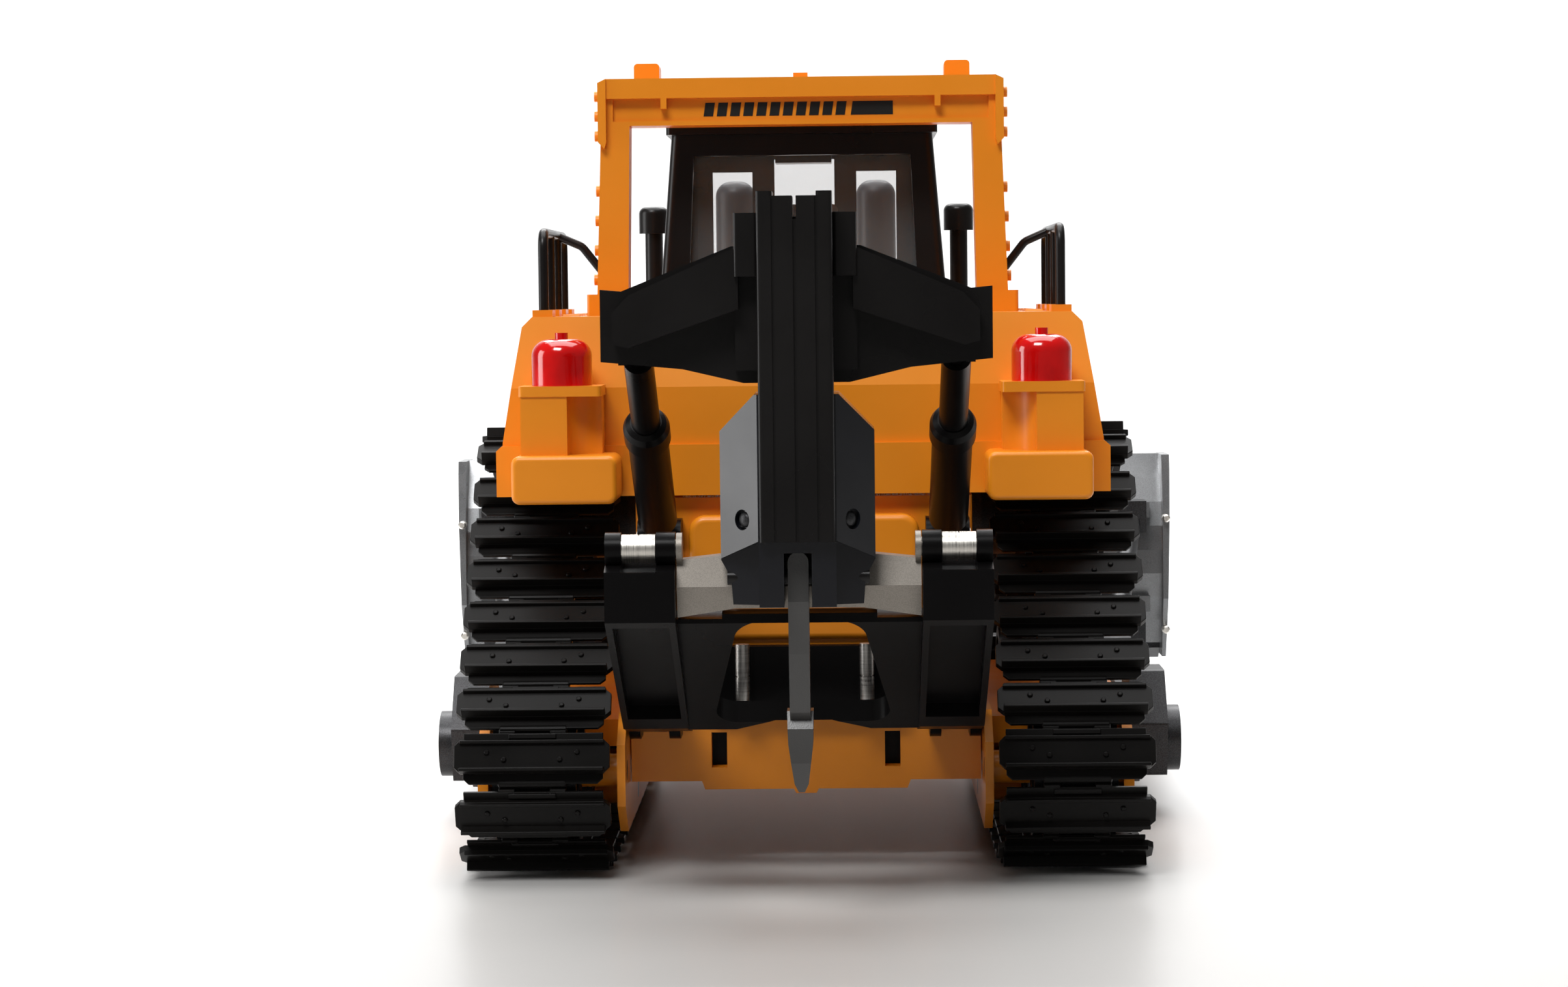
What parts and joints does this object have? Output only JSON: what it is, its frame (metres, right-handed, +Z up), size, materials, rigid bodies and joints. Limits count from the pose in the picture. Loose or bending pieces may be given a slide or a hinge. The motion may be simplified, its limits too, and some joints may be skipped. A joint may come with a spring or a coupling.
{
  "type": "toy bulldozer",
  "caption": "Toy crawler bulldozer with raised drive sprockets, lifting front blade, rear ripper linkage, cab, roll bar and hood.",
  "frame": {"origin": "on the floor under the middle of the toy", "axes": "+Y towards the blade, +X to the toy's right, +Z up"},
  "size_m": [0.274, 0.46, 0.2406],
  "materials": {
    "orange_plastic": "semi-gloss moulded plastic",
    "black_plastic": "satin moulded plastic",
    "track_plastic": "satin moulded plastic",
    "blade_paint": "silver-grey metallic paint on plastic",
    "cast_grey": "dark grey metallic paint on plastic",
    "beam_metal": "warm grey cast metal",
    "steel": "brushed",
    "red_lens": "glossy translucent red",
    "clear_lens": "clear",
    "window": "clear plastic",
    "board_green": "circuit board",
    "battery_wrap": "shrink wrap",
    "motor_metal": "plated steel",
    "interior_grey": "moulded plastic"
  },
  "bodies": {
    "chassis": {"chassis_tub": "orange_plastic", "battery_door": "orange_plastic", "battery_pack": "battery_wrap", "circuit_board": "board_green", "drive_units": "motor_metal", "rear_cover": "orange_plastic", "ripper_brackets": "black_plastic", "hitch_rods": "steel", "bracket_pins": "steel", "body_shell": "orange_plastic", "tail_lamp_pods": "orange_plastic", "tail_lamp_domes": "red_lens", "hood": "orange_plastic", "radiator_guard": "orange_plastic", "radiator_grille": "black_plastic", "air_precleaners": "interior_grey", "exhaust_stacks": "black_plastic", "cab_frame": "black_plastic", "cab_roof": "black_plastic", "cab_windows": "window", "cab_interior": "interior_grey", "rollover_frame": "orange_plastic", "roof_lamp_lenses": "clear_lens", "handrails": "black_plastic", "track_frames": "orange_plastic", "wheel_axles": "cast_grey", "final_drive_housings": "cast_grey", "left_track_belt": "track_plastic", "right_track_belt": "track_plastic", "chassis_screws": "steel"},
    "power_switch": {"power_switch": "black_plastic"},
    "ripper_frame": {"draft_frame": "black_plastic"},
    "ripper_carriage": {"ripper_mast": "black_plastic", "ripper_housing": "black_plastic", "ripper_wings": "black_plastic", "carriage_beam": "beam_metal", "pivot_sleeves": "steel", "carriage_pins": "black_plastic", "housing_screws": "black_plastic", "ripper_shank": "cast_grey", "ripper_tooth": "cast_grey"},
    "ripper_struts": {"strut_barrels": "black_plastic", "strut_rods": "black_plastic"},
    "blade": {"blade_board": "blade_paint", "cutting_edge": "cast_grey", "push_arms": "cast_grey"},
    "lift_barrels": {"lift_barrels": "cast_grey"},
    "lift_rods": {"lift_rods": "steel"},
    "right_sprocket": {"right_sprocket": "track_plastic"},
    "right_rear_idler": {"right_rear_idler": "cast_grey"},
    "right_front_idler": {"right_front_idler": "cast_grey"},
    "right_roller_1": {"right_roller_1": "cast_grey"},
    "right_roller_2": {"right_roller_2": "cast_grey"},
    "right_roller_3": {"right_roller_3": "cast_grey"},
    "left_sprocket": {"left_sprocket": "track_plastic"},
    "left_rear_idler": {"left_rear_idler": "cast_grey"},
    "left_front_idler": {"left_front_idler": "cast_grey"},
    "left_roller_1": {"left_roller_1": "cast_grey"},
    "left_roller_2": {"left_roller_2": "cast_grey"},
    "left_roller_3": {"left_roller_3": "cast_grey"}
  },
  "joints": [
    {"name": "right_sprocket_spin", "type": "hinge", "parent": "chassis", "child": "right_sprocket", "pos_m": [0.07775, -0.051, 0.098], "axis": [1, 0, 0], "continuous": true},
    {"name": "right_rear_idler_spin", "type": "hinge", "parent": "chassis", "child": "right_rear_idler", "pos_m": [0.07775, -0.115, 0.0295], "axis": [1, 0, 0], "continuous": true},
    {"name": "right_front_idler_spin", "type": "hinge", "parent": "chassis", "child": "right_front_idler", "pos_m": [0.07775, 0.097, 0.0295], "axis": [1, 0, 0], "continuous": true},
    {"name": "right_roller_1_spin", "type": "hinge", "parent": "chassis", "child": "right_roller_1", "pos_m": [0.07775, -0.064, 0.017], "axis": [1, 0, 0], "continuous": true},
    {"name": "right_roller_2_spin", "type": "hinge", "parent": "chassis", "child": "right_roller_2", "pos_m": [0.07775, -0.01, 0.017], "axis": [1, 0, 0], "continuous": true},
    {"name": "right_roller_3_spin", "type": "hinge", "parent": "chassis", "child": "right_roller_3", "pos_m": [0.07775, 0.046, 0.017], "axis": [1, 0, 0], "continuous": true},
    {"name": "left_sprocket_spin", "type": "hinge", "parent": "chassis", "child": "left_sprocket", "pos_m": [-0.07775, -0.051, 0.098], "axis": [1, 0, 0], "continuous": true},
    {"name": "left_rear_idler_spin", "type": "hinge", "parent": "chassis", "child": "left_rear_idler", "pos_m": [-0.07775, -0.115, 0.0295], "axis": [1, 0, 0], "continuous": true},
    {"name": "left_front_idler_spin", "type": "hinge", "parent": "chassis", "child": "left_front_idler", "pos_m": [-0.07775, 0.097, 0.0295], "axis": [1, 0, 0], "continuous": true},
    {"name": "left_roller_1_spin", "type": "hinge", "parent": "chassis", "child": "left_roller_1", "pos_m": [-0.07775, -0.064, 0.017], "axis": [1, 0, 0], "continuous": true},
    {"name": "left_roller_2_spin", "type": "hinge", "parent": "chassis", "child": "left_roller_2", "pos_m": [-0.07775, -0.01, 0.017], "axis": [1, 0, 0], "continuous": true},
    {"name": "left_roller_3_spin", "type": "hinge", "parent": "chassis", "child": "left_roller_3", "pos_m": [-0.07775, 0.046, 0.017], "axis": [1, 0, 0], "continuous": true},
    {"name": "ripper_lift", "type": "hinge", "parent": "chassis", "child": "ripper_frame", "pos_m": [0, -0.11, 0.045], "axis": [1, 0, 0], "range_deg": [-4, 18.3]},
    {"name": "carriage_pivot", "type": "hinge", "parent": "ripper_frame", "child": "ripper_carriage", "pos_m": [0, -0.206, 0.101], "axis": [1, 0, 0], "range_deg": [-18.8, 4.5]},
    {"name": "strut_pivot", "type": "hinge", "parent": "chassis", "child": "ripper_struts", "pos_m": [0, -0.104, 0.097], "axis": [1, 0, 0], "range_deg": [-4.5, 18.8]},
    {"name": "blade_lift", "type": "hinge", "parent": "chassis", "child": "blade", "pos_m": [0, -0.01, 0.024], "axis": [1, 0, 0], "range_deg": [-6.2, 4]},
    {"name": "lift_barrel_pivot", "type": "hinge", "parent": "chassis", "child": "lift_barrels", "pos_m": [0, 0.125, 0.121], "axis": [1, 0, 0], "range_deg": [-6.84, 4.59]},
    {"name": "lift_rod_slide", "type": "slide", "parent": "lift_barrels", "child": "lift_rods", "axis": [0, 0.6124, -0.7905], "range_m": [-0.0121, 0.01847]},
    {"name": "switch_slide", "type": "slide", "parent": "chassis", "child": "power_switch", "axis": [0, -1, 0], "range_m": [0, 0.004]}
  ],
  "couplings": [
    {"joint": "right_rear_idler_spin", "follows": "right_sprocket_spin", "ratio": 1},
    {"joint": "right_front_idler_spin", "follows": "right_sprocket_spin", "ratio": 1},
    {"joint": "right_roller_1_spin", "follows": "right_sprocket_spin", "ratio": 3},
    {"joint": "right_roller_2_spin", "follows": "right_sprocket_spin", "ratio": 3},
    {"joint": "right_roller_3_spin", "follows": "right_sprocket_spin", "ratio": 3},
    {"joint": "left_rear_idler_spin", "follows": "left_sprocket_spin", "ratio": 1},
    {"joint": "left_front_idler_spin", "follows": "left_sprocket_spin", "ratio": 1},
    {"joint": "left_roller_1_spin", "follows": "left_sprocket_spin", "ratio": 3},
    {"joint": "left_roller_2_spin", "follows": "left_sprocket_spin", "ratio": 3},
    {"joint": "left_roller_3_spin", "follows": "left_sprocket_spin", "ratio": 3},
    {"joint": "carriage_pivot", "follows": "ripper_lift", "ratio": -1},
    {"joint": "strut_pivot", "follows": "ripper_lift", "ratio": 1},
    {"joint": "lift_barrel_pivot", "follows": "blade_lift", "ratio": 1.0222},
    {"joint": "lift_rod_slide", "follows": "blade_lift", "m_per_rad": -0.16609}
  ]
}
